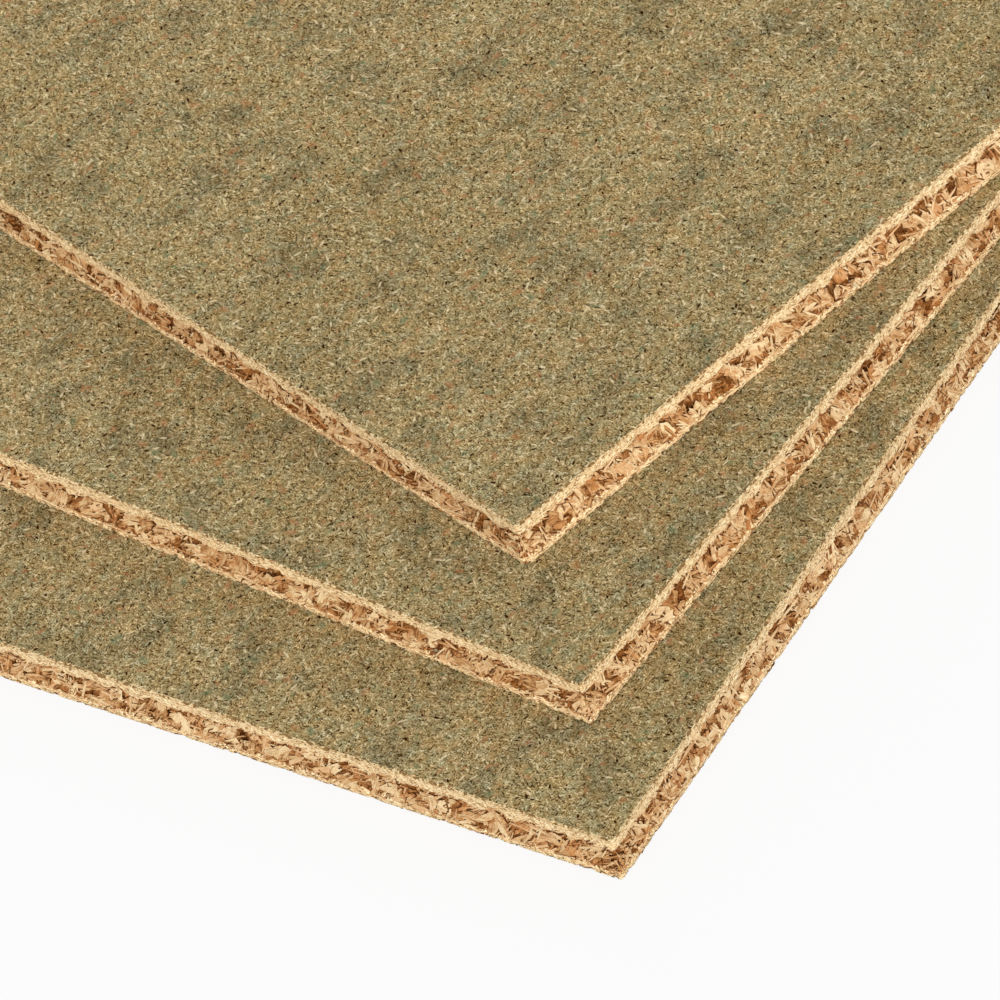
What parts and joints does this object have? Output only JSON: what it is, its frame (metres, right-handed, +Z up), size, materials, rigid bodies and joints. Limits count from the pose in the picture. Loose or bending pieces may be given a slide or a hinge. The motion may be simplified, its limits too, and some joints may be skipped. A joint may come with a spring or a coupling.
{
  "type": "stack of chipboard flooring panels",
  "caption": "Loose stack of square-edged chipboard flooring panels lying flat on each other, fanned out about one corner.",
  "frame": {"origin": "middle of the bottom panel's underside, on the floor", "axes": "+X along the bottom panel's length, +Y along its width, +Z up"},
  "size_m": [2.5639, 1.2205, 0.066],
  "materials": {
    "chipboard": "matt, sanded faces and sawn edges"
  },
  "bodies": {
    "root": {"panel_bottom": "chipboard", "panel_middle": "chipboard", "panel_top": "chipboard"}
  },
  "joints": []
}
